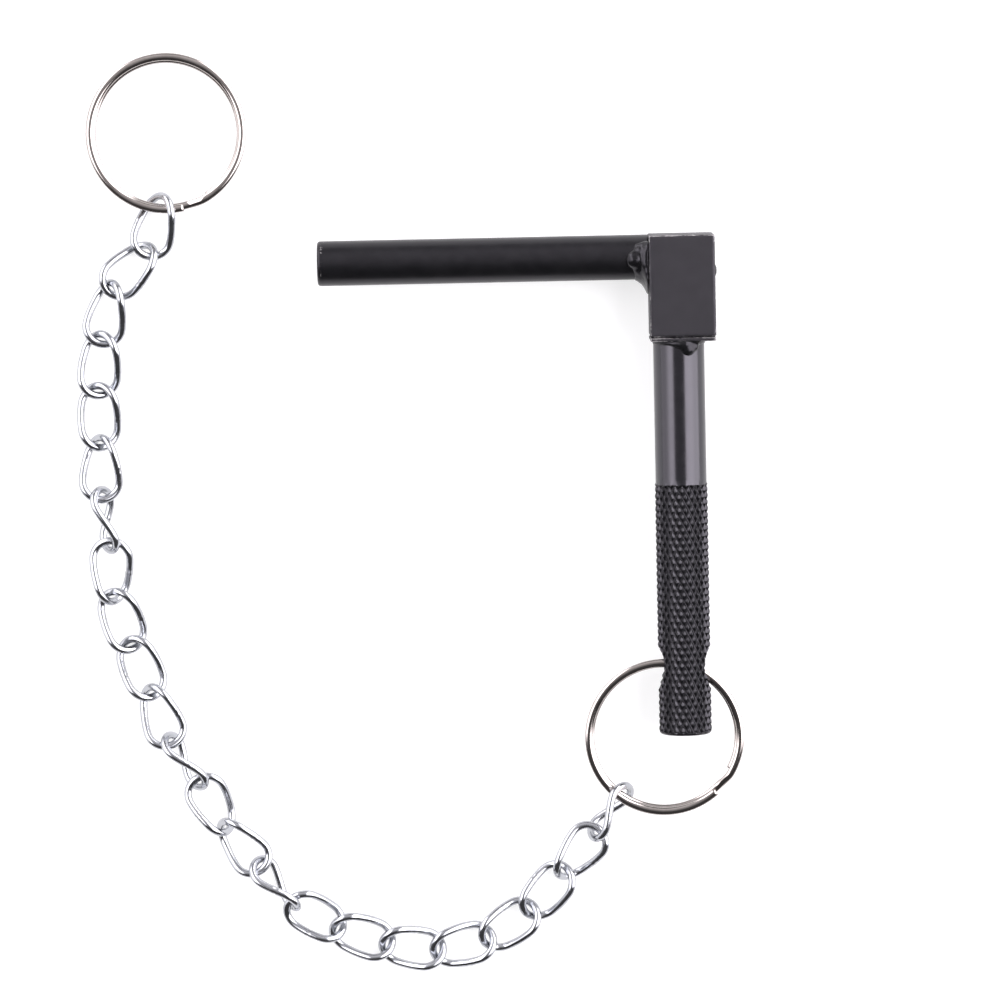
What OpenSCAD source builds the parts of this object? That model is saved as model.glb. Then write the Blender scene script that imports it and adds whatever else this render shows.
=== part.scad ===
// Hitch pin lock: a welded L of lock pin, corner block and knurled handle rod,
// with a split ring through the rod's cross hole, a twisted-link chain and a
// second split ring at the chain's free end.
// The lock pin lies along -X, the handle rod along -Y, and the whole lies on z = 0.
// The origin is on the block's resting face, below the point where the axes of
// the lock pin and the handle rod cross.

/* [Lock pin] */
// Diameter of the lock pin
pin_diameter = 14; // [10:0.5:16]
// Length of the lock pin from the block to its tip
pin_length = 103; // [70:1:125]
// Chamfer at the lock pin's tip
pin_chamfer = 1; // [0.5:0.1:2]

/* [Corner block] */
// Width of the block along the lock pin
block_width = 20.5; // [19:0.5:24]
// Height of the block along the handle rod
block_height = 31.7; // [28:0.1:36]
// Thickness of the block
block_thickness = 20; // [19:0.5:22]
// Worn chamfer on the block's long edges
block_chamfer = 0.8; // [0.3:0.1:1.5]
// Thickness of the plate between the block and the rod
plate_thickness = 1.4; // [1:0.1:2]

/* [Handle rod] */
// Diameter of the plain part of the rod
rod_diameter = 16; // [14:0.5:17]
// Distance of the rod's axis from the block's pin face
rod_offset = 9; // [8.5:0.1:10]
// Length of the rod below the plate
rod_length = 123.5; // [115:0.5:130]
// Length of the knurled grip at the rod's lower end
grip_length = 78.6; // [60:0.2:85]
// Height of the knurl above the plain part
grip_rise = 0.25; // [0.1:0.05:0.3]
// Chamfer at the rod's lower end
rod_chamfer = 1; // [0.5:0.1:2]

/* [Cross hole] */
// Distance of the cross hole from the rod's lower end
hole_height = 21; // [19:0.5:24]
// Diameter of the cross hole
hole_diameter = 8.2; // [8:0.1:8.6]
// Diameter of the countersink at each mouth
mouth_diameter = 13.8; // [12:0.2:14]
// Depth of the countersink below the rod's side
mouth_depth = 2.5; // [2:0.1:3]

/* [Split rings] */
// Mean radius of both split rings
ring_radius = 23.5; // [23.3:0.05:23.7]
// Radial width of the ring wire
ring_width = 2.5; // [2:0.05:2.5]
// Thickness of one coil
coil_thickness = 1.75; // [1.4:0.05:1.75]
// Distance between the two coils' centres
coil_pitch = 1.8; // [1.8:0.05:1.9]

/* [Chain] */
// Outside length of a chain link
link_length = 21.75; // [21.65:0.05:21.85]
// Outside width of a chain link
link_width = 13.8; // [13.6:0.05:14]
// Wire diameter of a chain link
link_wire = 2.3; // [2:0.05:2.3]
// Twist from one end of a link to the other, in degrees
link_twist = 60; // [56:1:62]
// Distance from one interlock to the next
chain_pitch = 16.3; // [16.25:0.01:16.33]

/* [Hidden] */
$fn = 96;
eps = 0.5;

STEEL = [0.07, 0.07, 0.075];
WELD = [0.1, 0.1, 0.105];
NICKEL = [0.62, 0.6, 0.57];
ZINC = [0.8, 0.81, 0.83];

axis_z = block_thickness / 2;
pin_root = -rod_offset;
pin_radius = pin_diameter / 2;
rod_radius = rod_diameter / 2;
grip_radius = rod_radius + grip_rise;
block_bottom = pin_radius - block_height;
rod_top = block_bottom - plate_thickness;
rod_bottom = rod_top - rod_length;
hole_y = rod_bottom + hole_height;

// The pin's root is relieved a little where the weld covers it.
root_length = 8;
root_relief = 0.25;
root_radius = pin_radius - root_relief;

// Weld sizes: the fillet's leg and thin edge, its dome, and the beads on rod
// and block.
fillet_leg = 4.6;
fillet_edge = 0.2;
fillet_margin = 0.4;
dome_radius = 3.7;
dome_centre = [pin_root - 4, -0.5, axis_z + pin_radius - 1];
bead_radius = 1.9;
bead_span = [42, 98];
plug_radius = 2.6;
plug_centre = [pin_root + block_width - 1.6, -4.5, axis_z + 2];

// A link's centreline: two half circles joined by two straight legs.
link_half = (link_length - link_wire) / 2;
bow_radius = (link_width - link_wire) / 2;
bow_centre = link_half - bow_radius;
BOW_STEPS = 10;
LEG_STEPS = 4;
WIRE_SIDES = 8;

// The chain's lie on the surface, from the free ring to the handle ring: the
// heading of each link, its roll about its own length, and its first interlock.
chain_start = [-160.3, 20.4];
headings = [
    -106, -137, -102, -96, -89, -90, -81, -89, -72, -68, -70, -56,
    -62, -50, -50, -31, -20, -9, 12, 33, 49, 51, 55
];
rolls = [
    20, 20, 25, 10, 0, 20, 90, -20, 0, 0, 20, 85,
    -25, 25, 100, -10, 0, 0, 0, 0, 0, 20, 85
];
LINKS = len(headings);

function link_name(k) = str("chain_link_", k < 9 ? "0" : "", k + 1);

// The split rings: how far the wire sits inside the end links, how far the
// handle ring leans to the left of its hole and rises in it, where each ring's
// coil steps over, how much the free ring droops away from the chain, and the
// direction from its wire at the chain to its centre.
free_wire_inset = 2.4;
handle_wire_inset = 2.4;
handle_lean = 6.6;
handle_lift = 0.3;
handle_step_angle = -38;
free_step_angle = -68;
free_droop = 3.75;
free_ring_heading = 84;
STEP_ZONE = 30;
RING_STEPS = 72;
coil_corner = 0.45;

function unit(v) = v / norm(v);

// Centreline of a link in its own plane, before the twist: [along, across].
function stadium() = concat(
    [for (i = [0:BOW_STEPS - 1]) let (t = -90 + 180 * i / BOW_STEPS)
        [bow_centre + bow_radius * cos(t), bow_radius * sin(t)]],
    [for (i = [0:LEG_STEPS - 1])
        [bow_centre - 2 * bow_centre * i / LEG_STEPS, bow_radius]],
    [for (i = [0:BOW_STEPS - 1]) let (t = 90 + 180 * i / BOW_STEPS)
        [-bow_centre + bow_radius * cos(t), bow_radius * sin(t)]],
    [for (i = [0:LEG_STEPS - 1])
        [-bow_centre + 2 * bow_centre * i / LEG_STEPS, -bow_radius]]
);
STADIUM = stadium();

// Turn of the link's plane about its length at a distance along it.
function turn(along, roll) = roll - link_twist / 2 * sin(90 * along / link_half);

function twisted(p, roll) =
    let (t = turn(p[0], roll)) [p[0], p[1] * cos(t), p[1] * sin(t)];

// Height a link's middle line needs so that its lowest wire touches the surface.
function rise(roll) =
    link_wire / 2 + max([for (p = STADIUM) abs(twisted(p, roll)[2])]);

// Height of each interlock: the higher of the two links that meet there.
RISES = [for (roll = rolls) rise(roll)];
JOINT_Z = [for (i = [0:LINKS]) max(RISES[max(i - 1, 0)], RISES[min(i, LINKS - 1)])];

function along(k) =
    let (dz = JOINT_Z[k + 1] - JOINT_Z[k], run = sqrt(pow(chain_pitch, 2) - dz * dz))
    [run * cos(headings[k]), run * sin(headings[k]), dz];

function interlock(k) =
    k == 0 ? [chain_start[0], chain_start[1], JOINT_Z[0]] : interlock(k - 1) + along(k - 1);

INTERLOCKS = [for (k = [0:LINKS]) interlock(k)];

// Side faces of a swept tube, closed on itself or capped at both ends.
function tube_faces(rings, sides, closed) = concat(
    [for (i = [0:rings - (closed ? 1 : 2)], j = [0:sides - 1])
        let (a = i * sides + j, b = i * sides + (j + 1) % sides,
             c = ((i + 1) % rings) * sides + (j + 1) % sides,
             d = ((i + 1) % rings) * sides + j)
        [a, b, c, d]],
    closed ? [] : [[for (j = [sides - 1:-1:0]) j]],
    closed ? [] : [[for (j = [0:sides - 1]) (rings - 1) * sides + j]]
);

// Ring of wire points around one centreline point, square to its tangent.
function wire_ring(centre, tangent, normal) =
    let (side = unit(cross(tangent, normal)), up = cross(side, tangent))
    [for (j = [0:WIRE_SIDES - 1]) let (t = 360 * j / WIRE_SIDES)
        centre + link_wire / 2 * (cos(t) * side + sin(t) * up)];

function link_points(roll) =
    let (n = len(STADIUM), path = [for (p = STADIUM) twisted(p, roll)])
    [for (i = [0:n - 1])
        let (t = turn(STADIUM[i][0], roll),
             tangent = unit(path[(i + 1) % n] - path[(i + n - 1) % n]))
        each wire_ring(path[i], tangent, [0, -sin(t), cos(t)])];

// One twisted link, lying between its two interlocks.
module chain_link(k) {
    u = unit(along(k));
    v = unit(cross([0, 0, 1], u));
    w = cross(u, v);
    centre = (INTERLOCKS[k] + INTERLOCKS[k + 1]) / 2;
    points = [for (p = link_points(rolls[k])) centre + p[0] * u + p[1] * v + p[2] * w];
    color(ZINC)
        polyhedron(points, tube_faces(len(STADIUM), WIRE_SIDES, true), convexity = 6);
}

// Height of the coil at an angle from its step: low, then stepping over to high.
function coil_height(t) =
    let (s = (t - 360) / STEP_ZONE)
    coil_pitch / 2 * (abs(s) < 1 ? sin(90 * s) : sign(s));

// Rounded flat section of the ring wire: [outwards, up].
function coil_section() =
    let (w = ring_width / 2, h = coil_thickness / 2, c = coil_corner)
    [[w, -h + c], [w, h - c], [w - c, h], [-w + c, h],
     [-w, h - c], [-w, -h + c], [-w + c, -h], [w - c, -h]];

// Two flat coils of one wire that steps over once, seen from above.
module split_ring(step_angle) {
    first = STEP_ZONE + 2;
    sweep = 720 - 2 * first;
    section = coil_section();
    points = [for (i = [0:RING_STEPS])
        let (t = first + sweep * i / RING_STEPS)
        for (p = section)
            let (r = ring_radius + p[0])
            [r * cos(t + step_angle), r * sin(t + step_angle), coil_height(t) + p[1]]];
    color(NICKEL)
        polyhedron(points, tube_faces(RING_STEPS + 1, len(section), false), convexity = 8);
}

// The handle ring hangs on the cross hole and droops to the last link's height.
module handle_ring() {
    reach = sqrt(pow(ring_radius, 2) - pow(handle_lean, 2));
    last = INTERLOCKS[LINKS];
    droop = atan2(axis_z - last[2], hole_y - last[1] + handle_wire_inset / 2);
    translate([0, hole_y, axis_z])
        rotate([droop, 0, 0])
            translate([-handle_lean, handle_lift - reach, 0])
                split_ring(handle_step_angle);
}

// The free ring leans on the first link and rests on the surface beyond it.
module anchor_ring() {
    wire = INTERLOCKS[0] + free_wire_inset * unit(along(0));
    translate(wire)
        rotate([-free_droop, 0, 0])
            translate(ring_radius * [cos(free_ring_heading), sin(free_ring_heading), 0])
                split_ring(free_step_angle);
}

module lock_pin() {
    color(STEEL)
        translate([pin_root, 0, axis_z])
            rotate([0, -90, 0]) {
                cylinder(h = root_length, r = root_radius);
                translate([0, 0, root_length])
                    cylinder(h = pin_length - pin_chamfer - root_length, r = pin_radius);
                translate([0, 0, pin_length - pin_chamfer])
                    cylinder(h = pin_chamfer, r1 = pin_radius, r2 = pin_radius - pin_chamfer);
            }
}

// Rectangle with equal chamfers at its four corners.
module chamfered_rectangle(width, height, chamfer) {
    polygon([
        [chamfer, 0], [width - chamfer, 0], [width, chamfer], [width, height - chamfer],
        [width - chamfer, height], [chamfer, height], [0, height - chamfer], [0, chamfer]
    ]);
}

// The block's long edges are chamfered along the rod and across the front.
module corner_block() {
    color(STEEL)
        translate([pin_root, block_bottom, 0])
            intersection() {
                linear_extrude(block_thickness)
                    chamfered_rectangle(block_width, block_height, block_chamfer);
                rotate([90, 0, 90])
                    linear_extrude(block_width)
                        chamfered_rectangle(block_height, block_thickness, block_chamfer);
            }
}

module end_plate() {
    color(STEEL)
        translate([pin_root, rod_top, block_chamfer])
            cube([block_width, plate_thickness, block_thickness - 2 * block_chamfer]);
}

// Cross hole with a countersink at each mouth, as one tool along X.
module cross_hole() {
    translate([0, hole_y, axis_z])
        rotate([0, 90, 0]) {
            cylinder(h = 2 * (grip_radius + eps), r = hole_diameter / 2, center = true);
            for (side = [0, 1])
                mirror([0, 0, side])
                    translate([0, 0, grip_radius - mouth_depth])
                        cylinder(h = mouth_depth, r1 = hole_diameter / 2, r2 = mouth_diameter / 2);
        }
}

module handle_rod() {
    color(STEEL)
        difference() {
            translate([0, rod_top, axis_z])
                rotate([90, 0, 0]) {
                    cylinder(h = rod_length - grip_length, r = rod_radius);
                    translate([0, 0, rod_length - grip_length])
                        cylinder(h = grip_length - rod_chamfer, r = grip_radius);
                    translate([0, 0, rod_length - rod_chamfer])
                        cylinder(h = rod_chamfer, r1 = grip_radius, r2 = grip_radius - rod_chamfer);
                }
            cross_hole();
        }
}

// Hollow fillet around the pin's root, cut back inside the block's faces.
module pin_weld() {
    leg = fillet_leg;
    color(WELD)
        difference() {
            union() {
                intersection() {
                    translate([pin_root, 0, axis_z])
                        rotate([0, -90, 0])
                            rotate_extrude()
                                translate([pin_radius - eps, 0])
                                    difference() {
                                        square([leg + eps, leg]);
                                        translate([leg + eps, leg])
                                            circle(r = leg - fillet_edge);
                                    }
                    translate([pin_root - leg, block_bottom, fillet_margin])
                        cube([leg, block_height - fillet_margin,
                              block_thickness - 2 * fillet_margin]);
                }
                translate(dome_centre)
                    sphere(r = dome_radius);
            }
            translate([pin_root, 0, axis_z])
                rotate([0, -90, 0])
                    cylinder(h = pin_length, r = root_radius);
            translate([pin_root, block_bottom, 0])
                cube([block_width, block_height, block_thickness]);
        }
}

// Bead across the front of the rod's top, under the plate.
module rod_weld() {
    color(WELD)
        difference() {
            translate([0, rod_top - bead_radius, axis_z])
                rotate([90, 0, 0])
                    rotate([0, 0, bead_span[0]])
                        rotate_extrude(angle = bead_span[1] - bead_span[0])
                            translate([rod_radius, 0])
                                circle(r = bead_radius, $fn = 32);
            translate([0, rod_top + eps, axis_z])
                rotate([90, 0, 0])
                    cylinder(h = rod_length / 2, r = rod_radius);
        }
}

// Low dome of weld on the block's face opposite the pin.
module side_weld() {
    color(WELD)
        difference() {
            translate(plug_centre)
                sphere(r = plug_radius, $fn = 48);
            translate([pin_root, block_bottom, 0])
                cube([block_width, block_height, block_thickness]);
        }
}

lock_pin();
corner_block();
end_plate();
handle_rod();
pin_weld();
rod_weld();
side_weld();
handle_ring();
anchor_ring();
for (k = [0:LINKS - 1])
    chain_link(k);
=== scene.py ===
"""Hitch pin lock: black welded L with a knurled handle, two split rings and a twisted-link chain."""

import math

import bmesh
import bpy
from mathutils import Matrix, Vector, noise


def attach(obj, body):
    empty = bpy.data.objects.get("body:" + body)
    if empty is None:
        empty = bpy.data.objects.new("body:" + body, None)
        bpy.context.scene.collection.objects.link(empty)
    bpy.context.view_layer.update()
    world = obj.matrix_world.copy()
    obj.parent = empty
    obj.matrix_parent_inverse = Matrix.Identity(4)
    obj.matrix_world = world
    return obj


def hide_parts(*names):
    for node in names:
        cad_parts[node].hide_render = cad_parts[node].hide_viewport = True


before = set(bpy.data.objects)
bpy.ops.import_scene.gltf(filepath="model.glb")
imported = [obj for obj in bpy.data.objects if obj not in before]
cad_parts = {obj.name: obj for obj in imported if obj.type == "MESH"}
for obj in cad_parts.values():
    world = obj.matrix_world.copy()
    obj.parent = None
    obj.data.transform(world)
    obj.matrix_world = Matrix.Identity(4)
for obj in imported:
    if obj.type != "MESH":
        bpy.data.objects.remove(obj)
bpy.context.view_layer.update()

MM = 0.001
AXIS_Z = 10.0

# Sizes in millimetres. These are the CAD source's own.
PIN_RADIUS = 7.0
PIN_ROOT = -9.0
PIN_LENGTH = 103.0
BLOCK_WIDTH = 20.5
BLOCK_TOP = 7.0
BLOCK_BOTTOM = -24.7
BLOCK_THICKNESS = 20.0
ROD_RADIUS = 8.0
GRIP_RADIUS = 8.25
ROD_TOP = -26.1
ROD_BOTTOM = -149.6
GRIP_LENGTH = 78.6
HOLE_Y = -128.6
HOLE_RADIUS = 4.1
MOUTH_RADIUS = 6.9
MOUTH_DEPTH = 2.5

RING_RADIUS = 23.5
RING_WIDTH = 2.5
COIL_THICKNESS = 1.75
COIL_PITCH = 1.8
HANDLE_LEAN = 6.6
HANDLE_LIFT = 0.3
HANDLE_INSET = 2.4
FREE_INSET = 2.4
FREE_DROOP = 3.75
FREE_HEADING = 84.0

LINK_HALF = 9.725
BOW_RADIUS = 5.75
LINK_WIRE = 2.3
LINK_TWIST = 60.0
CHAIN_PITCH = 16.3
CHAIN_START = (-160.3, 20.4)
HEADINGS = (
    -106, -137, -102, -96, -89, -90, -81, -89, -72, -68, -70, -56,
    -62, -50, -50, -31, -20, -9, 12, 33, 49, 51, 55,
)
ROLLS = (
    20, 20, 25, 10, 0, 20, 90, -20, 0, 0, 20, 85,
    -25, 25, 100, -10, 0, 0, 0, 0, 0, 20, 85,
)

# Looks that the CAD source leaves out or has otherwise, in millimetres and degrees.
PIN_CHAMFER = 1.2
PLATE_THICKNESS = 1.25
SEEN_WIRE = 2.45
SEAM_PLACE = 0.6
COIL_SPREAD = 0.3
STEP_ZONE = 8.0
KNURL_STARTS = 22
KNURL_PITCH = 4.06
KNURL_DEPTH = 0.8
KNURL_SLOPE = 0.8
KNURL_COLUMNS = 220
ROWS_PER_PITCH = 10

# Brightness of the studio's parts.
LEFT_LIGHT = 5.4
RIGHT_LIGHT = 6.5
CEILING_LIGHT = 1.0
DARK_CORNER = 0.08
HORIZON_LIGHT = 0.8
FLOOR_GLOW = 0.66


# ---------------------------------------------------------------- mesh helpers

def place_mesh(name, mesh, material):
    """An object for the mesh, with its material, in the scene."""
    mesh.materials.append(material)
    obj = bpy.data.objects.new(name, mesh)
    bpy.context.scene.collection.objects.link(obj)
    return obj


def shade_smooth(mesh):
    """Turns smooth shading on for every face."""
    mesh.polygons.foreach_set("use_smooth", [True] * len(mesh.polygons))


def new_object(name, verts, faces, material):
    """A smooth mesh object from vertices in millimetres."""
    mesh = bpy.data.meshes.new(name)
    mesh.from_pydata([Vector(v) * MM for v in verts], [], faces)
    mesh.validate()
    mesh.update()
    shade_smooth(mesh)
    return place_mesh(name, mesh, material)


def object_from_bmesh(name, bm, material):
    """A mesh object from a bmesh in millimetres, which is freed."""
    mesh = bpy.data.meshes.new(name)
    bmesh.ops.scale(bm, vec=(MM, MM, MM), verts=bm.verts)
    bm.to_mesh(mesh)
    bm.free()
    return place_mesh(name, mesh, material)


def point_values(obj, name, values):
    """Stores one number per vertex for the material to read."""
    layer = obj.data.attributes.new(name, "FLOAT", "POINT")
    layer.data.foreach_set("value", values)


def grid_faces(rows, columns, wrap_rows, wrap_columns):
    """Quads of a grid of vertices stored row by row."""
    faces = []
    for i in range(rows if wrap_rows else rows - 1):
        for j in range(columns if wrap_columns else columns - 1):
            a = i * columns + j
            b = i * columns + (j + 1) % columns
            c = (i + 1) % rows * columns + (j + 1) % columns
            d = (i + 1) % rows * columns + j
            faces.append((a, b, c, d))
    return faces


def swept_tube(path, frames, section, closed):
    """Vertices and faces of a section swept along a path; frames give (side, up)."""
    verts = []
    for p, (side, up) in zip(path, frames):
        for s, t in section:
            verts.append(p + side * s + up * t)
    faces = grid_faces(len(path), len(section), closed, True)
    if not closed:
        count = len(section)
        faces.append(tuple(range(count - 1, -1, -1)))
        faces.append(tuple((len(path) - 1) * count + j for j in range(count)))
    return verts, faces


def circle_section(radius, sides):
    """A circle's points, as (side, up) pairs."""
    angles = [2 * math.pi * j / sides for j in range(sides)]
    return [(radius * math.cos(t), radius * math.sin(t)) for t in angles]


# ------------------------------------------------------------- chain geometry

def link_turn(along, roll):
    """Turn of a link's plane about its length, in radians, at a distance along it."""
    return math.radians(roll - LINK_TWIST / 2 * math.sin(math.pi / 2 * along / LINK_HALF))


def stadium(bow_steps, leg_steps):
    """A link's centreline before its twist, as (along, across) pairs."""
    centre = LINK_HALF - BOW_RADIUS
    points = []
    for end in (1, -1):
        for i in range(bow_steps):
            t = math.pi * (i / bow_steps - 0.5)
            points.append((end * (centre + BOW_RADIUS * math.cos(t)), end * BOW_RADIUS * math.sin(t)))
        for i in range(leg_steps):
            points.append((end * centre * (1 - 2 * i / leg_steps), end * BOW_RADIUS))
    return points


def rise(roll):
    """Height of a link's middle line when its lowest wire touches the surface."""
    return LINK_WIRE / 2 + max(abs(b * math.sin(link_turn(a, roll))) for a, b in stadium(10, 4))


def lay_chain():
    """The interlocks and the unit vector along each link."""
    rises = [rise(roll) for roll in ROLLS]
    last = len(rises) - 1
    heights = [max(rises[max(i - 1, 0)], rises[min(i, last)]) for i in range(len(rises) + 1)]
    points = [Vector((*CHAIN_START, heights[0]))]
    units = []
    for k, heading in enumerate(HEADINGS):
        dz = heights[k + 1] - heights[k]
        run = math.sqrt(CHAIN_PITCH**2 - dz * dz)
        t = math.radians(heading)
        step = Vector((run * math.cos(t), run * math.sin(t), dz))
        points.append(points[-1] + step)
        units.append(step.normalized())
    return points, units


INTERLOCKS, UNITS = lay_chain()


def seam_swell(distance):
    """Change in the wire's thickness near its butt weld: a dip with a swell beside it."""
    dip = 0.06 * math.exp(-((distance / 0.28) ** 2))
    return 0.05 * math.exp(-(((distance - 0.7) / 0.4) ** 2)) - dip


def make_link(k, material):
    """One twisted wire link with its butt weld, between interlocks k and k + 1."""
    roll = ROLLS[k]
    u = UNITS[k]
    v = Vector((0, 0, 1)).cross(u).normalized()
    w = u.cross(v)
    centre = (INTERLOCKS[k] + INTERLOCKS[k + 1]) / 2
    flat = stadium(28, 14)
    local = []
    for a, b in flat:
        t = link_turn(a, roll)
        local.append(Vector((a, b * math.cos(t), b * math.sin(t))))
    count = len(local)
    path = [centre + u * p.x + v * p.y + w * p.z for p in local]
    frames = []
    for i in range(count):
        tangent = (path[(i + 1) % count] - path[i - 1]).normalized()
        t = link_turn(flat[i][0], roll)
        normal = v * -math.sin(t) + w * math.cos(t)
        side = tangent.cross(normal).normalized()
        frames.append((side, side.cross(tangent)))
    sides = 18
    verts, faces = swept_tube(path, frames, circle_section(SEEN_WIRE / 2, sides), True)
    seam_leg = 1 if (k * 7) % 3 else -1
    seam = []
    for i, (a, b) in enumerate(flat):
        on_leg = b * seam_leg > BOW_RADIUS * 0.99
        distance = abs(a - SEAM_PLACE) if on_leg else LINK_HALF
        for j in range(sides):
            p = verts[i * sides + j]
            verts[i * sides + j] = path[i] + (p - path[i]) * (1 + seam_swell(distance))
            seam.append(math.exp(-((distance / 0.5) ** 2)))
    obj = new_object(f"link_{k + 1:02d}", verts, faces, material)
    point_values(obj, "seam", seam)
    return obj


# ------------------------------------------------------------ ring geometry

def coil_height(t):
    """Height of the ring's wire at t degrees along it, out of 720."""
    s = (t - 360) / STEP_ZONE
    level = math.sin(math.pi / 2 * s) if abs(s) < 1 else math.copysign(1, s)
    return COIL_PITCH / 2 * level


def ring_section():
    """Flattened oval section of the ring wire, as (outwards, up) pairs."""
    return [(s * RING_WIDTH / 2, t * COIL_THICKNESS / 2) for s, t in circle_section(1, 28)]


def make_ring(name, step_angle, place, material):
    """Two flat coils of one wire that steps over once, the upper one a little wider."""
    first = STEP_ZONE + 2
    steps = 360
    path, frames = [], []
    for i in range(steps + 1):
        t = first + (720 - 2 * first) * i / steps
        r = math.radians(t + step_angle)
        out = Vector((math.cos(r), math.sin(r), 0))
        height = coil_height(t)
        path.append(out * (RING_RADIUS + COIL_SPREAD * height) + Vector((0, 0, height)))
        frames.append((out, Vector((0, 0, 1))))
    verts, faces = swept_tube(path, frames, ring_section(), False)
    verts = [place @ v for v in verts]
    return new_object(name, verts, faces, material)


def handle_ring_place():
    """Where the handle ring lies: through the cross hole, drooping to the last link."""
    reach = math.sqrt(RING_RADIUS**2 - HANDLE_LEAN**2)
    last = INTERLOCKS[-1]
    droop = math.atan2(AXIS_Z - last.z, HOLE_Y - last.y + HANDLE_INSET / 2)
    hole = Matrix.Translation((0, HOLE_Y, AXIS_Z))
    return hole @ Matrix.Rotation(droop, 4, "X") @ Matrix.Translation((-HANDLE_LEAN, HANDLE_LIFT - reach, 0))


def free_ring_place():
    """Where the free ring lies: through the first link's bow."""
    wire = INTERLOCKS[0] + UNITS[0] * FREE_INSET
    t = math.radians(FREE_HEADING)
    out = Vector((math.cos(t), math.sin(t), 0)) * RING_RADIUS
    droop = Matrix.Rotation(math.radians(-FREE_DROOP), 4, "X")
    return Matrix.Translation(wire) @ droop @ Matrix.Translation(out)


# ---------------------------------------------------------------- node helpers

def new_material(name):
    """An empty node material: (material, its node tree, its Principled shader)."""
    material = bpy.data.materials.new(name)
    material.use_nodes = True
    tree = material.node_tree
    return material, tree, tree.nodes["Principled BSDF"]


def add_node(tree, kind, **sockets):
    """A node of that kind with its input values set by socket name."""
    node = tree.nodes.new(kind)
    for name, value in sockets.items():
        node.inputs[name.replace("_", " ")].default_value = value
    return node


def noise_value(tree, scale, detail=4.0, roughness=0.55):
    """The output of a noise that repeats scale times a metre."""
    place = tree.nodes.new("ShaderNodeTexCoord")
    texture = add_node(tree, "ShaderNodeTexNoise", Scale=scale, Detail=detail, Roughness=roughness)
    tree.links.new(place.outputs["Object"], texture.inputs["Vector"])
    return texture.outputs["Fac"]


def attribute_value(tree, name):
    """The output of a number stored at each vertex."""
    node = tree.nodes.new("ShaderNodeAttribute")
    node.attribute_name = name
    return node.outputs["Fac"]


def combine(tree, operation, a, b):
    """A math node of two sockets or numbers."""
    node = tree.nodes.new("ShaderNodeMath")
    node.operation = operation
    for socket, value in zip(node.inputs, (a, b)):
        if isinstance(value, (int, float)):
            socket.default_value = value
        else:
            tree.links.new(value, socket)
    return node.outputs[0]


def remap(tree, value, low, high, to_low, to_high, smooth=True):
    """value from low..high to to_low..to_high, clamped."""
    node = tree.nodes.new("ShaderNodeMapRange")
    node.interpolation_type = "SMOOTHSTEP" if smooth else "LINEAR"
    for name, number in (("From Min", low), ("From Max", high), ("To Min", to_low), ("To Max", to_high)):
        node.inputs[name].default_value = number
    tree.links.new(value, node.inputs["Value"])
    return node.outputs["Result"]


def mix_colour(tree, factor, a, b):
    """A colour from a to b; each is a colour or a socket."""
    node = tree.nodes.new("ShaderNodeMix")
    node.data_type = "RGBA"
    tree.links.new(factor, node.inputs[0])
    for socket, value in ((node.inputs[6], a), (node.inputs[7], b)):
        if isinstance(value, tuple):
            socket.default_value = (*value, 1.0)
        else:
            tree.links.new(value, socket)
    return node.outputs[2]


def add_bump(tree, shader, heights, distance=0.0001):
    """Stacks bumps; heights is a list of (socket, strength)."""
    normal = None
    for height, strength in heights:
        bump = add_node(tree, "ShaderNodeBump", Strength=strength, Distance=distance)
        tree.links.new(height, bump.inputs["Height"])
        if normal:
            tree.links.new(normal, bump.inputs["Normal"])
        normal = bump.outputs["Normal"]
    tree.links.new(normal, shader.inputs["Normal"])


# -------------------------------------------------------------------- materials

def paint(name, dark, light, rough, gloss=0.5):
    """Satin black paint: chips of light metal show wear and, on the block's top edges and the pin's sides, a
    painted highlight; rougher where hollow.
    """
    material, tree, shader = new_material(name)
    mottle = noise_value(tree, 240, 5)
    base = mix_colour(tree, remap(tree, mottle, 0.35, 0.65, 0, 1), dark, light)
    wear_and_highlight = attribute_value(tree, "wear_and_highlight")
    grain = noise_value(tree, 900, 6, 0.7)
    patches = noise_value(tree, 170, 3)
    grain = combine(tree, "MULTIPLY", grain, 0.6)
    patches = combine(tree, "MULTIPLY", patches, 0.6)
    level = combine(tree, "ADD", wear_and_highlight, combine(tree, "ADD", grain, patches))
    # Light metal where the value is high: wear chips, and on the block's top edges and the pin's sides a
    # painted highlight.
    chips_and_highlight = remap(tree, level, 1.0, 1.12, 0, 1)
    tree.links.new(mix_colour(tree, chips_and_highlight, base, (0.3, 0.29, 0.29)), shader.inputs["Base Color"])
    satin = remap(tree, mottle, 0.3, 0.7, rough - 0.02, rough + 0.03)
    chipped = combine(tree, "ADD", satin, combine(tree, "MULTIPLY", chips_and_highlight, 0.1))
    dulled = combine(tree, "MULTIPLY", attribute_value(tree, "hollow"), 0.3)
    tree.links.new(combine(tree, "ADD", chipped, dulled), shader.inputs["Roughness"])
    tree.links.new(combine(tree, "MULTIPLY", chips_and_highlight, 0.6), shader.inputs["Metallic"])
    shader.inputs["Specular IOR Level"].default_value = gloss
    shader.inputs["Specular Tint"].default_value = (0.94, 0.9, 1.0, 1)
    fine = noise_value(tree, 1500, 3)
    lowered = combine(tree, "SUBTRACT", 1.0, chips_and_highlight)
    add_bump(tree, shader, [(lowered, 0.3), (mottle, 0.05), (fine, 0.04)])
    return material


def plated(name, bright, dull, rough_low, rough_high):
    """Bright plating with faint stains, low ripples and fine pits."""
    material, tree, shader = new_material(name)
    shader.inputs["Metallic"].default_value = 1.0
    stain = remap(tree, noise_value(tree, 180, 5, 0.6), 0.4, 0.7, 0, 1)
    tree.links.new(mix_colour(tree, stain, bright, dull), shader.inputs["Base Color"])
    cloud = noise_value(tree, 420, 4)
    tree.links.new(remap(tree, cloud, 0.3, 0.7, rough_low, rough_high), shader.inputs["Roughness"])
    ripples = noise_value(tree, 700, 2)
    pits = noise_value(tree, 2600, 2)
    add_bump(tree, shader, [(ripples, 0.06), (pits, 0.03)])
    return material


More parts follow.
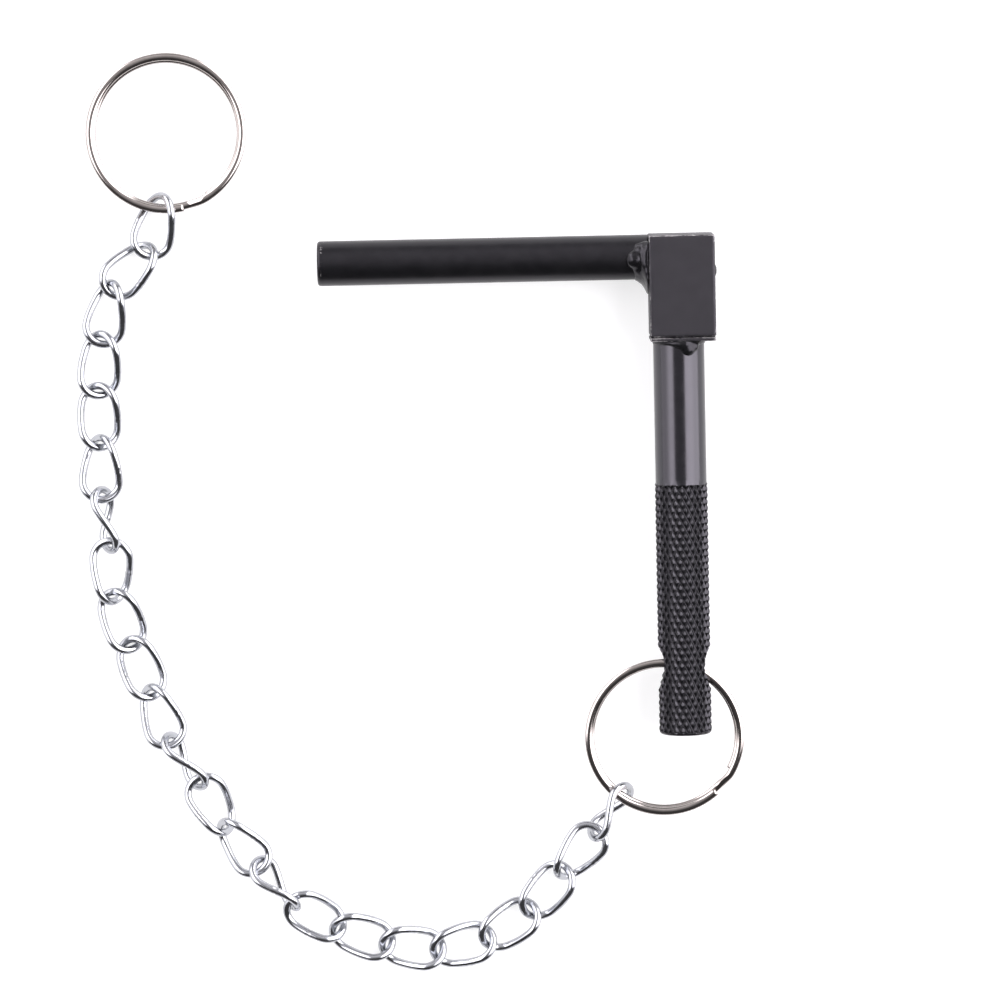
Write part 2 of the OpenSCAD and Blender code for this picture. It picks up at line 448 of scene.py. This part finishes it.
def zinc_plating():
    """Bluish plating, a little duller at each link's weld seam."""
    material = plated("zinc_plating", (0.44, 0.45, 0.475), (0.38, 0.39, 0.415), 0.14, 0.22)
    tree = material.node_tree
    shader = tree.nodes["Principled BSDF"]
    old = shader.inputs["Base Color"].links[0].from_socket
    seam = remap(tree, attribute_value(tree, "seam"), 0.3, 1.0, 0, 0.55)
    tree.links.new(mix_colour(tree, seam, old, (0.42, 0.42, 0.43)), shader.inputs["Base Color"])
    return material


def floor_paper():
    """Pale matt paper with a slight glow of its own, so that it shows white."""
    material, tree, shader = new_material("floor_paper")
    shader.inputs["Base Color"].default_value = (0.42, 0.42, 0.42, 1)
    shader.inputs["Roughness"].default_value = 0.9
    shader.inputs["Specular IOR Level"].default_value = 0.1
    shader.inputs["Emission Color"].default_value = (1.0, 1.0, 1.0, 1)
    shader.inputs["Emission Strength"].default_value = FLOOR_GLOW
    return material


# ------------------------------------------------------------- welded L pieces

def box_shell(low, high, step):
    """A bmesh box whose faces are grids of about that step."""
    size = high - low
    bm = bmesh.new()
    for axis in range(3):
        u, v = (axis + 1) % 3, (axis + 2) % 3
        nu = max(4, round(size[u] / step))
        nv = max(4, round(size[v] / step))
        for end in (0, 1):
            rows = []
            for i in range(nu + 1):
                row = []
                for j in range(nv + 1):
                    p = Vector((0, 0, 0))
                    p[axis] = high[axis] if end else low[axis]
                    p[u] = low[u] + size[u] * i / nu
                    p[v] = low[v] + size[v] * j / nv
                    row.append(bm.verts.new(p))
                rows.append(row)
            for i in range(nu):
                for j in range(nv):
                    corners = [rows[i][j], rows[i + 1][j], rows[i + 1][j + 1], rows[i][j + 1]]
                    bm.faces.new(corners if end else corners[::-1])
    bmesh.ops.remove_doubles(bm, verts=bm.verts, dist=step * 0.01)
    return bm


def round_box(name, low, high, radius, step, material, dent):
    """A box with rounded, slightly dented edges and a value along them for chipping where rubbed, raised on
    the top and +Y edges as a painted highlight.
    """
    low, high = Vector(low), Vector(high)
    bm = box_shell(low, high, step)
    wear_and_highlight = []
    for vert in bm.verts:
        p = vert.co.copy()
        core = Vector(min(max(p[i], low[i] + radius), high[i] - radius) for i in range(3))
        out = p - core
        _, near, far = sorted(min(p[i] - low[i], high[i] - p[i]) for i in range(3))
        if out.length > 0:
            vert.co = core + out.normalized() * min(radius, out.length)
        amount = noise.noise(p * 0.9) * math.exp(-near / 1.2)
        vert.co -= (vert.co - (low + high) / 2).normalized() * max(amount, 0) * dent
        corner = math.exp(-far / 2.5) * 0.15
        # upper raises the value on the top and +Y edges, where the light falls: a painted highlight.
        upper = 0.12 * math.exp(-(high.y - p.y) / 2) + 0.05 * math.exp(-(high.z - p.z))
        wear_and_highlight.append(math.exp(-((near / 0.5) ** 2)) * (0.34 + upper) + corner)
    bmesh.ops.recalc_face_normals(bm, faces=bm.faces)
    obj = object_from_bmesh(name, bm, material)
    shade_smooth(obj.data)
    point_values(obj, "wear_and_highlight", wear_and_highlight)
    return obj


def lathe(name, profile, columns, to_point, material):
    """A closed turned solid; profile rows are (along, radius, wear_and_highlight), numbers or functions."""
    verts, wear_and_highlight = [], []
    for along, radius, worn_and_lit in profile:
        for j in range(columns):
            t = 2 * math.pi * j / columns
            r = radius(t) if callable(radius) else radius
            verts.append(to_point(along, r, t))
            wear_and_highlight.append(worn_and_lit(t, along) if callable(worn_and_lit) else worn_and_lit)
    faces = grid_faces(len(profile), columns, False, True)
    faces.append(tuple(range(columns - 1, -1, -1)))
    last = (len(profile) - 1) * columns
    faces.append(tuple(last + j for j in range(columns)))
    obj = new_object(name, verts, faces, material)
    point_values(obj, "wear_and_highlight", wear_and_highlight)
    return obj


def make_lock_pin(material):
    """Plain round bar with a chamfered tip, chipped at the chamfer, with a few light chips along its sides
    as a painted rim highlight.
    """
    shoulder = PIN_LENGTH - PIN_CHAMFER

    def to_point(along, r, t):
        return (PIN_ROOT - along, -r * math.sin(t), AXIS_Z + r * math.cos(t))

    def worn_and_lit(t, along):
        # side puts light chips along the bar's two sides: a painted rim highlight.
        side = abs(math.sin(t)) ** 10 * 0.1
        tip = math.exp(-((shoulder - along) ** 2)) * 0.36
        return max(side, tip)

    profile = []
    steps = 200
    for i in range(steps + 1):
        along = shoulder * i / steps
        profile.append((along, PIN_RADIUS, worn_and_lit))
    for i in range(1, 6):
        t = math.pi / 2 * i / 5
        radius = PIN_RADIUS - 1.0 + math.cos(t)
        profile.append((shoulder + PIN_CHAMFER * math.sin(t) ** 0.8, radius, worn_and_lit))
    for radius in (5.6, 4.0, 2.0, 0.3):
        profile.append((PIN_LENGTH, radius, 0.1))
    return lathe("pin_bar", profile, 96, to_point, material)


def knurl_height(t, along):
    """Height of the diamond knurl, from 0 in its grooves to 1 on its tips."""
    turns = KNURL_STARTS * t / (2 * math.pi)
    a = turns + along / KNURL_PITCH
    b = turns - along / KNURL_PITCH
    groove = min(abs(a - round(a)), abs(b - round(b))) * 2
    return min(1.0, groove / KNURL_SLOPE)


def knurl_hollow(point, length):
    """How far a point of the rod lies down in the knurl, from 0 to 1."""
    along = ROD_TOP - point.y
    if not length - GRIP_LENGTH < along < length - 1.0:
        return 0.0
    radius = math.hypot(point.x, point.z - AXIS_Z)
    return min(max((GRIP_RADIUS - 0.4 - radius) / 0.35, 0.0), 1.0)


def make_handle_rod(material, grip_shaded_material):
    """Plain upper rod and knurled grip in one, with a countersunk cross hole.

    The grip's side faces are flat and have the second material, a darker, less glossy copy of the rod's
    paint: painted shade in the knurl.
    """
    length = ROD_TOP - ROD_BOTTOM
    grip_start = length - GRIP_LENGTH

    def to_point(along, r, t):
        return (r * math.sin(t), ROD_TOP - along, AXIS_Z + r * math.cos(t))

    def knurled(along, fade):
        return lambda t: GRIP_RADIUS - fade * KNURL_DEPTH * (1 - knurl_height(t, along))

    def tips(fade):
        return lambda t, along: fade * (0.2 * knurl_height(t, along) ** 3)

    profile = [(float(along), ROD_RADIUS, 0.02) for along in range(int(grip_start))]
    profile.append((grip_start - 0.3, ROD_RADIUS, 0.02))
    step = KNURL_PITCH / ROWS_PER_PITCH
    count = int((GRIP_LENGTH - 1.0) / step)
    for i in range(count + 1):
        along = grip_start + i * step
        fade = min(1.0, 0.3 + i / 3)
        profile.append((along, knurled(along, fade), tips(fade)))
    end = grip_start + count * step
    for i in range(1, 5):
        t = math.pi / 2 * i / 4
        profile.append((end + (length - end) * math.sin(t), GRIP_RADIUS - 1.0 + math.cos(t) * 0.9, 0.2))
    for radius in (6.0, 4.0, 2.0, 0.3):
        profile.append((length, radius, 0.08))
    rod = lathe("rod", profile, KNURL_COLUMNS, to_point, material)
    hollow = [knurl_hollow(v.co / MM, length) for v in rod.data.vertices]
    point_values(rod, "hollow", hollow)
    grip_top = (ROD_TOP - grip_start) * MM
    rod.data.materials.append(grip_shaded_material)
    for face in rod.data.polygons:
        plain = face.center.y > grip_top or len(face.vertices) > 4
        face.use_smooth = plain
        face.material_index = 0 if plain else 1
    cutter = make_hole_cutter(material)
    cut = rod.modifiers.new("cross_hole", "BOOLEAN")
    cut.operation = "DIFFERENCE"
    cut.solver = "EXACT"
    cut.object = cutter
    apply_modifiers(rod)
    bpy.data.objects.remove(cutter)
    return rod


def make_hole_cutter(material):
    """The cross hole with its two countersinks as one turned solid along X."""
    def to_point(along, r, t):
        return (along, HOLE_Y + r * math.cos(t), AXIS_Z + r * math.sin(t))

    outer = GRIP_RADIUS + 1.2
    slope = (MOUTH_RADIUS - HOLE_RADIUS) / MOUTH_DEPTH
    wide = MOUTH_RADIUS + slope * (outer - GRIP_RADIUS)
    inner = GRIP_RADIUS - MOUTH_DEPTH
    profile = [(-outer, 0.01, 0.0), (-outer, wide, 0.0), (-inner - 0.3, HOLE_RADIUS + 0.3 * slope, 0.1)]
    profile += [(-inner + 0.3, HOLE_RADIUS, 0.1), (inner - 0.3, HOLE_RADIUS, 0.1)]
    profile += [(inner + 0.3, HOLE_RADIUS + 0.3 * slope, 0.1), (outer, wide, 0.0), (outer, 0.01, 0.0)]
    return lathe("hole_cutter", profile, 72, to_point, material)


def apply_modifiers(obj):
    """Replaces the object's mesh by what its modifiers make of it."""
    depsgraph = bpy.context.evaluated_depsgraph_get()
    mesh = bpy.data.meshes.new_from_object(obj.evaluated_get(depsgraph), depsgraph=depsgraph)
    obj.modifiers.clear()
    old = obj.data
    obj.data = mesh
    bpy.data.meshes.remove(old)


def weld_metal(name, lumps, material, voxel=0.22, ripple=0.12, smoothing=7):
    """One weld bead: overlapping lumps (centre, radii) melted together."""
    bm = bmesh.new()
    for centre, radii in lumps:
        place = Matrix.Translation(Vector(centre)) @ Matrix.Diagonal((*radii, 1))
        bmesh.ops.create_icosphere(bm, subdivisions=2, radius=1, matrix=place)
    obj = object_from_bmesh(name, bm, material)
    melt = obj.modifiers.new("melt", "REMESH")
    melt.mode = "VOXEL"
    melt.voxel_size = voxel * MM
    soften = obj.modifiers.new("soften", "SMOOTH")
    soften.factor = 0.6
    soften.iterations = smoothing
    apply_modifiers(obj)
    wear_and_highlight = []
    for vert in obj.data.vertices:
        p = vert.co / MM
        vert.co += vert.normal * noise.noise(p * 0.8) * ripple * MM
        wear_and_highlight.append(0.05 + 0.1 * max(noise.noise(p * 1.7), 0))
    shade_smooth(obj.data)
    if not obj.data.materials:
        obj.data.materials.append(material)
    point_values(obj, "wear_and_highlight", wear_and_highlight)
    return obj


def make_pin_weld(material):
    """Fillet round the pin's root, thinner at the block's edge, with a dome on top."""
    rows = ((0.2, 4.0, 0.8), (0.5, 2.6, 1.0), (1.0, 1.2, 1.3), (2.4, 0.2, 1.1), (3.9, -0.3, 0.8))
    block_half = 9.2
    count = 90
    lumps = []
    for i in range(count):
        t = 2 * math.pi * i / count
        y = -math.cos(t)
        z = math.sin(t)
        if y > 0.6:
            continue
        full = min(1.0, (0.75 - y) / 0.6)
        for back, out, size in rows:
            radius = PIN_RADIUS + out * full
            height = math.copysign(min(radius * abs(z), block_half - size), z)
            lumps.append(((PIN_ROOT - back, radius * y, AXIS_Z + height), (size, size, size)))
    top = AXIS_Z + PIN_RADIUS
    lumps.append(((PIN_ROOT - 4.2, -0.4, top - 1.0), (3.3, 3.3, 3.0)))
    lumps.append(((PIN_ROOT - 2.2, 1.6, top - 1.3), (2.9, 2.5, 2.9)))
    lumps.append(((PIN_ROOT - 2.6, -3.4, top - 2.2), (2.8, 2.2, 2.4)))
    return weld_metal("pin_weld_bead", lumps, material, ripple=0.05, smoothing=60)


def make_rod_weld(material):
    """Bead on top of the rod just under the plate, running thin to both sides."""
    lumps = []
    for i in range(70):
        t = math.radians(8 + 164 * i / 69)
        size = 0.8 + 1.0 * math.exp(-(((math.degrees(t) - 72) / 26) ** 2))
        reach = ROD_RADIUS - 0.3
        place = (reach * math.cos(t), ROD_TOP - 0.5 * size, AXIS_Z + reach * math.sin(t))
        lumps.append((place, (size * 0.9, size * 1.3, size)))
    lumps.append(((2.6, ROD_TOP - 2.6, AXIS_Z + ROD_RADIUS - 0.9), (2.4, 2.2, 1.9)))
    lumps.append(((4.6, ROD_TOP - 1.6, AXIS_Z + ROD_RADIUS - 1.6), (1.6, 1.9, 1.6)))
    return weld_metal("rod_weld_bead", lumps, material, ripple=0.06, smoothing=20)


def make_side_weld(material):
    """Low plug of weld on the block's face away from the pin."""
    face = PIN_ROOT + BLOCK_WIDTH
    lumps = [
        ((face - 0.5, -4.5, AXIS_Z + 2.0), (1.3, 2.3, 2.4)),
        ((face - 0.6, -3.6, AXIS_Z + 0.6), (1.2, 1.8, 1.8)),
    ]
    return weld_metal("side_weld_bead", lumps, material)


def make_spatter(material):
    """Weld beads and spatter between the block and the plate."""
    lumps = []
    for x, size in ((-8.3, 0.75), (-7.2, 0.6), (-2.4, 0.35), (2.9, 0.55), (3.9, 0.6), (8.4, 0.4)):
        lumps.append(((x, ROD_TOP + 1.7 + 0.15 * size, 19.3), (size * 1.2, size, size)))
    for x, z in ((-5.0, 18.6), (0.4, 18.9), (6.0, 18.7)):
        lumps.append(((x, ROD_TOP + 1.3, z), (1.6, 0.55, 0.5)))
    return weld_metal("plate_spatter", lumps, material, voxel=0.15, ripple=0.05)


def build_lock(body):
    """The welded L: every piece rides on one body."""
    pin_paint = paint("pin_paint", (0.003, 0.003, 0.0035), (0.004, 0.004, 0.0045), 0.34, gloss=0.33)
    block_paint = paint("block_paint", (0.006, 0.0055, 0.0065), (0.007, 0.0065, 0.0075), 0.5)
    rod_paint = paint("rod_paint", (0.005, 0.005, 0.006), (0.006, 0.006, 0.007), 0.2, gloss=0.62)
    # The grip's paint is a darker, less glossy copy of rod_paint: painted shade in the knurl.
    grip_paint_shaded = paint("grip_paint_shaded", (0.003, 0.003, 0.0035), (0.004, 0.004, 0.0045), 0.17, gloss=0.42)
    weld_paint = paint("weld_paint", (0.004, 0.004, 0.0045), (0.006, 0.006, 0.0065), 0.22, gloss=0.28)
    edge = PIN_ROOT + BLOCK_WIDTH
    low = (PIN_ROOT, BLOCK_BOTTOM, 0)
    high = (edge, BLOCK_TOP, BLOCK_THICKNESS)
    block = round_box("block", low, high, 0.6, 0.45, block_paint, dent=0.25)
    low = (PIN_ROOT, ROD_TOP, 0.8)
    high = (edge, ROD_TOP + PLATE_THICKNESS, 19.4)
    plate = round_box("plate", low, high, 0.5, 0.3, block_paint, dent=0.15)
    made = (
        (make_lock_pin(pin_paint), "lock_pin", "pin_paint"),
        (block, "corner_block", "block_paint"),
        (plate, "end_plate", "block_paint"),
        (make_handle_rod(rod_paint, grip_paint_shaded), "handle_rod", "rod_paint"),
        (make_pin_weld(weld_paint), "pin_weld", "weld_paint"),
        (make_rod_weld(weld_paint), "rod_weld", "weld_paint"),
        (make_side_weld(weld_paint), "side_weld", "weld_paint"),
        (make_spatter(weld_paint), None, "weld_paint"),
    )
    for piece, node, slot in made:
        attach(piece, body)
        if node:
            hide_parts(node)


def build_rings():
    """The two split rings, each on its own body."""
    nickel = plated("nickel_plating", (0.44, 0.405, 0.385), (0.38, 0.345, 0.325), 0.07, 0.13)
    rings = (
        ("ring_on_handle", -38, handle_ring_place(), "handle_ring"),
        ("ring_at_free_end", -68, free_ring_place(), "anchor_ring"),
    )
    for name, step_angle, place, node in rings:
        ring = make_ring(name, step_angle, place, nickel)
        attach(ring, node)
        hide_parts(node)


def build_chain():
    """The 23 links, each on its own body."""
    zinc = zinc_plating()
    for k in range(len(HEADINGS)):
        link = make_link(k, zinc)
        node = f"chain_link_{k + 1:02d}"
        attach(link, node)
        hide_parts(node)


# ---------------------------------------------------------------------- studio

def build_floor():
    """A plain square sheet just under the lock."""
    size = 3.0
    mesh = bpy.data.meshes.new("floor")
    corners = [(-size, -size, 0), (size, -size, 0), (size, size, 0), (-size, size, 0)]
    mesh.from_pydata(corners, [], [(0, 1, 2, 3)])
    floor = place_mesh("floor", mesh, floor_paper())
    floor.location.z = -0.0002


def build_room():
    """Softboxes left and right, a dim ceiling between them and a dark corner towards -Y.

    The camera itself sees plain white.
    """
    world = bpy.data.worlds.new("room")
    bpy.context.scene.world = world
    world.use_nodes = True
    tree = world.node_tree
    background = tree.nodes["Background"]
    place = tree.nodes.new("ShaderNodeTexCoord")
    split = tree.nodes.new("ShaderNodeSeparateXYZ")
    tree.links.new(place.outputs["Generated"], split.inputs[0])
    x, y, z = split.outputs
    ceiling = remap(tree, y, -0.35, 0.7, DARK_CORNER, CEILING_LIGHT, smooth=False)
    ceiling = combine(tree, "MULTIPLY", ceiling, remap(tree, y, 0.8, 0.98, 1, 0.35))
    left = combine(tree, "MULTIPLY", remap(tree, x, -0.4, -0.55, 0, 1), remap(tree, y, -0.32, -0.12, 0, 1))
    right = combine(tree, "MULTIPLY", remap(tree, x, 0.3, 0.45, 0, 1), remap(tree, y, -0.42, -0.2, 0, 1))
    left_power = remap(tree, x, -0.7, -0.95, LEFT_LIGHT, 0.4 * LEFT_LIGHT)
    right_power = remap(tree, x, 0.75, 0.98, RIGHT_LIGHT, 0.75 * RIGHT_LIGHT)
    left = combine(tree, "MULTIPLY", left, left_power)
    right = combine(tree, "MULTIPLY", right, right_power)
    boxes = combine(tree, "MAXIMUM", left, right)
    above = combine(tree, "MAXIMUM", ceiling, boxes)
    behind = remap(tree, y, -0.6, -0.2, DARK_CORNER, HORIZON_LIGHT)
    ahead = combine(tree, "MULTIPLY", behind, remap(tree, y, 0.45, 0.85, 1, 0.3))
    horizon = combine(tree, "MULTIPLY", remap(tree, z, 0.28, 0.12, 0, 1), ahead)
    tree.links.new(combine(tree, "MAXIMUM", above, horizon), background.inputs["Strength"])
    background.inputs["Color"].default_value = (0.985, 0.96, 1.0, 1)
    plain = tree.nodes.new("ShaderNodeBackground")
    plain.inputs["Color"].default_value = (1.0, 1.0, 1.0, 1)
    path = tree.nodes.new("ShaderNodeLightPath")
    mix = tree.nodes.new("ShaderNodeMixShader")
    tree.links.new(path.outputs["Is Camera Ray"], mix.inputs[0])
    tree.links.new(background.outputs[0], mix.inputs[1])
    tree.links.new(plain.outputs[0], mix.inputs[2])
    tree.links.new(mix.outputs[0], tree.nodes["World Output"].inputs["Surface"])


def build_camera():
    """Long lens from above, leaning a little, turned so that the pin rises to the right."""
    target = Vector((-56.7, -75.0, AXIS_Z)) * MM
    lean = math.radians(4.9)
    distance = 1.719
    data = bpy.data.cameras.new("camera")
    data.sensor_width = 36
    data.lens = 198
    data.clip_start = 0.05
    data.clip_end = 20
    camera = bpy.data.objects.new("camera", data)
    bpy.context.scene.collection.objects.link(camera)
    turn = Matrix.Rotation(math.radians(-1.2), 4, "Z") @ Matrix.Rotation(-lean, 4, "X")
    camera.matrix_world = Matrix.Translation(target) @ turn @ Matrix.Translation((0, 0, distance))
    bpy.context.scene.camera = camera


build_camera()
build_room()
build_floor()
build_lock("lock")
build_rings()
build_chain()
bpy.context.scene.view_settings.view_transform = "Standard"
